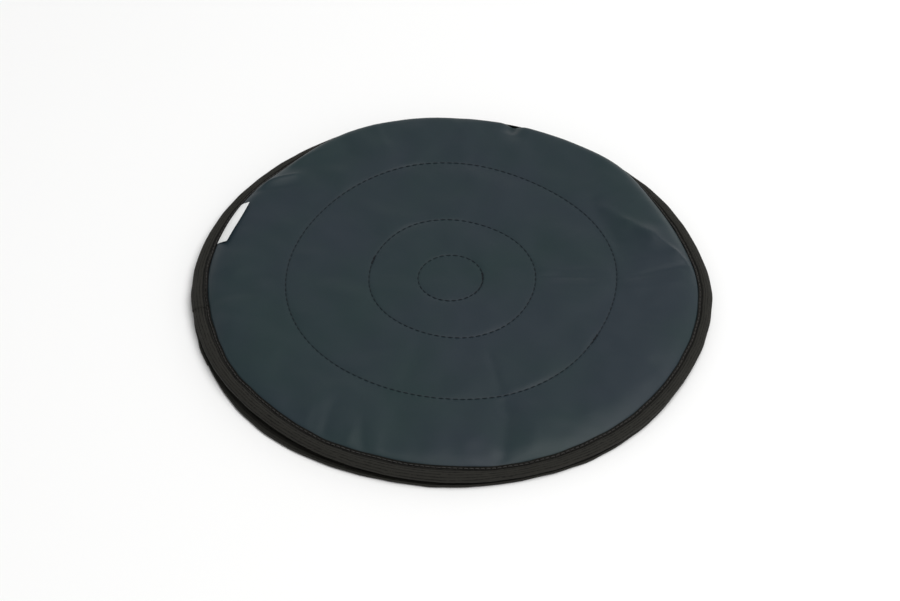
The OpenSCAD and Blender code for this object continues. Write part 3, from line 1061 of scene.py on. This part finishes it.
seam("seat_tape_stitches", "seat_binding_seam", "seat", seat_tape_profiles, 60)
seam("base_tape_stitches", "base_binding_seam", "base", base_tape_profiles, 70)


# ---- non-slip underside

DOT_PITCH, DOT_R, DOT_HEIGHT = 9.0, 1.9, 0.45


def grip_sheet():
    """The base's lower fabric, which steps up over the tape and lies as high as its raised dots."""
    share = np.concatenate([np.linspace(0.02, 0.9, 24), np.linspace(0.91, 1, 14)])[:, None]
    r = inside_base(theta_sheet) * share
    step = smooth(STEP_FROM, STEP_TO, r)
    low = polar(r, theta_sheet, DOT_HEIGHT + (TAPE_T + 0.05 - DOT_HEIGHT) * step)
    high = low + np.array([0, 0, GRIP_T])
    return closed_pad(high, low)


base_sheet = build("base_grip_sheet", [grip_sheet()], MATERIALS["grip_fabric"], "base")
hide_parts("base_grip_cover")


def grip_dot(x, y):
    """A low dome that points down."""
    sides = 8
    a = np.arange(sides) * TAU / sides
    middle = np.array([x, y, 0])
    points = []
    for share, z in ((1.0, DOT_HEIGHT + 0.05), (0.93, 0.2), (0.7, 0.05), (0.35, 0.0)):
        points.append(middle + polar(DOT_R * share, a, z))
    faces = []
    for i in range(3):
        for k in range(sides):
            low, high, j = i * sides, (i + 1) * sides, (k + 1) % sides
            faces.append([low + j, low + k, high + k, high + j])
    faces.append(list(range(4 * sides - 1, 3 * sides - 1, -1)))
    faces.append(list(range(sides)))
    return np.concatenate(points), faces, None


def grip_field():
    """Dots in a triangular pattern, inside the tape."""
    dots, row_gap = [], DOT_PITCH * math.sqrt(3) / 2
    limit = STEP_FROM - 4
    for j in range(-int(limit / row_gap), int(limit / row_gap) + 1):
        for i in range(-int(limit / DOT_PITCH) - 1, int(limit / DOT_PITCH) + 2):
            x, y = (i + (j % 2) / 2) * DOT_PITCH, j * row_gap
            if math.hypot(x, y) < limit:
                dots.append(grip_dot(x, y))
    return dots


dots = build("base_grip_dots", grip_field(), grip_dots(), "base")


# ---- care label

LABEL_AT = math.radians(161)
LABEL_W = 52.0
LABEL_EDGE = 199.3
LABEL_T = 0.3
LABEL_CURL = 1.6


def care_label():
    """A straight strip that comes out from under the tape, lies on the cover and lifts at its free edge."""
    u = np.linspace(-LABEL_W / 2, LABEL_W / 2, 41)[:, None]
    share = np.linspace(0, 1, 17)[None, :]
    off = u / 203.0
    root = (tape_edge(LABEL_AT + off) + 1.6) * np.cos(off)
    v = LABEL_EDGE + (root - LABEL_EDGE) * share
    x = v * math.cos(LABEL_AT) - u * math.sin(LABEL_AT)
    y = v * math.sin(LABEL_AT) + u * math.cos(LABEL_AT)
    r, theta = np.hypot(x, y), np.arctan2(y, x)
    rho = ROW_R[2] + (r - ROW_R[2]) * (NOMINAL_EDGE - ROW_R[2]) / (tape_edge(theta) - ROW_R[2])
    surface = cover_z(np.minimum(rho, NOMINAL_EDGE + 1), theta)
    away = (1 - share) ** 2 * (1 + 0.35 * np.sin(u / 9) + 0.5 * (u / 26) ** 2) * LABEL_CURL
    z = surface + LABEL_T + COVER_GAP + away
    points = np.stack(np.broadcast_arrays(x, y, z), axis=-1)
    n, m = points.shape[:2]
    faces = [[i * m + k, i * m + k + 1, (i + 1) * m + k + 1, (i + 1) * m + k]
             for i in range(n - 1) for k in range(m - 1)]
    uv = np.stack(np.broadcast_arrays(u, v - LABEL_EDGE), axis=-1).reshape(-1, 2) * MM
    return points, faces, np.concatenate([uv[f] for f in faces])


label = build("care_label_ribbon", [care_label()], MATERIALS["label_satin"])
solidify(label, LABEL_T)
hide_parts("care_label")
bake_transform(label)


# ---- floor and light


FLOOR_HALF = 30.0       # in m
FLOOR_GAP = 0.2


def floor():
    mesh = bpy.data.meshes.new("floor")
    corners = [(x * FLOOR_HALF, y * FLOOR_HALF, 0) for x, y in ((-1, -1), (1, -1), (1, 1), (-1, 1))]
    mesh.from_pydata(corners, [], [(0, 1, 2, 3)])
    m = Nodes("floor", Roughness=0.7, Specular_IOR_Level=0.2)
    m.shader.inputs["Base Color"].default_value = (0.93, 0.93, 0.925, 1)
    mesh.materials.append(m.material)
    plane = bpy.data.objects.new("floor", mesh)
    plane.location.z = -FLOOR_GAP * MM
    bpy.context.scene.collection.objects.link(plane)


def area_light(name, size, power, place):
    data = bpy.data.lights.new(name, "AREA")
    data.shape, data.size, data.energy = "DISK", size, power
    light = bpy.data.objects.new(name, data)
    light.location = place
    light.rotation_mode = "QUATERNION"
    light.rotation_quaternion = (-Vector(place)).to_track_quat("-Z", "Y")
    bpy.context.scene.collection.objects.link(light)


# Brightness of the surroundings at these sines of the elevation
SURROUNDINGS = [(0.0, 1.0), (0.35, 0.85), (0.62, 0.34), (0.8, 0.25), (1.0, 0.55)]


def light_scene():
    """Surroundings that are bright low down and overhead, and one soft light from the upper right."""
    world = bpy.data.worlds.new("studio")
    bpy.context.scene.world = world
    world.use_nodes = True
    nodes, links = world.node_tree.nodes, world.node_tree.links
    place = nodes.new("ShaderNodeTexCoord")
    split = nodes.new("ShaderNodeSeparateXYZ")
    ramp = nodes.new("ShaderNodeValToRGB").color_ramp
    for _ in SURROUNDINGS[2:]:
        ramp.elements.new(0.5)
    for stop, (position, value) in zip(ramp.elements, SURROUNDINGS):
        stop.position, stop.color = position, (value, value, value, 1)
    links.new(place.outputs["Generated"], split.inputs["Vector"])
    links.new(split.outputs["Z"], nodes["Color Ramp"].inputs["Fac"])
    links.new(nodes["Color Ramp"].outputs["Color"], nodes["Background"].inputs["Color"])
    area_light("softbox", 3.6, 127, (1.5, -0.3, 3.7))
    bpy.context.scene.view_settings.view_transform = "Standard"


floor()
light_scene()
